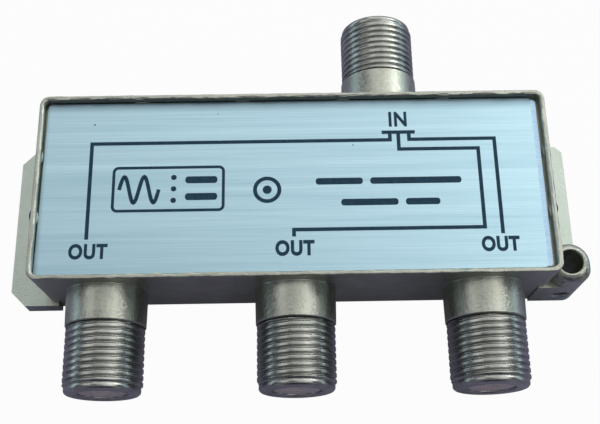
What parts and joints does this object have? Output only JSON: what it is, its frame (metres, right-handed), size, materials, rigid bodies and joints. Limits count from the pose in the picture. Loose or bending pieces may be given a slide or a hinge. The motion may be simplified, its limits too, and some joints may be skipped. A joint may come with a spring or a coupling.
{
  "type": "three-way coaxial splitter",
  "caption": "Flat die-cast box with threaded coaxial sockets on two sides, a recessed label, fixing ears and a ground lug, which splits one signal into several.",
  "frame": {"origin": "middle of the flat back face, under the middle of the box and of the ears", "axes": "+X to the right along the label, +Y towards the single input socket, +Z out of the label"},
  "size_m": [0.072, 0.0486, 0.013],
  "materials": {
    "plated_zinc": "rough die-cast zinc with a dull tin-nickel plating",
    "tinned_steel": "tinned sheet steel",
    "brushed_foil": "brushed aluminium foil with printed lines",
    "board": "resin-bonded paper board",
    "insulator": "moulded polyethylene",
    "contact_bronze": "plated spring bronze",
    "ferrite": "sintered ferrite",
    "enamelled_wire": "enamelled copper wire",
    "resistor_paint": "lacquer over ceramic",
    "capacitor_coat": "dipped phenolic coat over a ceramic disc"
  },
  "bodies": {
    "root": {"housing": "plated_zinc", "lid": "tinned_steel", "label": "brushed_foil", "circuit_board": "board", "insulator_in": "insulator", "insulator_out_left": "insulator", "insulator_out_middle": "insulator", "insulator_out_right": "insulator", "contact_in": "contact_bronze", "contact_out_left": "contact_bronze", "contact_out_middle": "contact_bronze", "contact_out_right": "contact_bronze", "matching_core_1": "ferrite", "splitting_core_1": "ferrite", "matching_winding_1": "enamelled_wire", "splitting_winding_1": "enamelled_wire", "matching_core_2": "ferrite", "splitting_core_2": "ferrite", "matching_winding_2": "enamelled_wire", "splitting_winding_2": "enamelled_wire", "resistor_left": "resistor_paint", "resistor_right": "resistor_paint", "capacitor_left": "capacitor_coat", "capacitor_middle": "capacitor_coat", "capacitor_right": "capacitor_coat"}
  },
  "joints": []
}
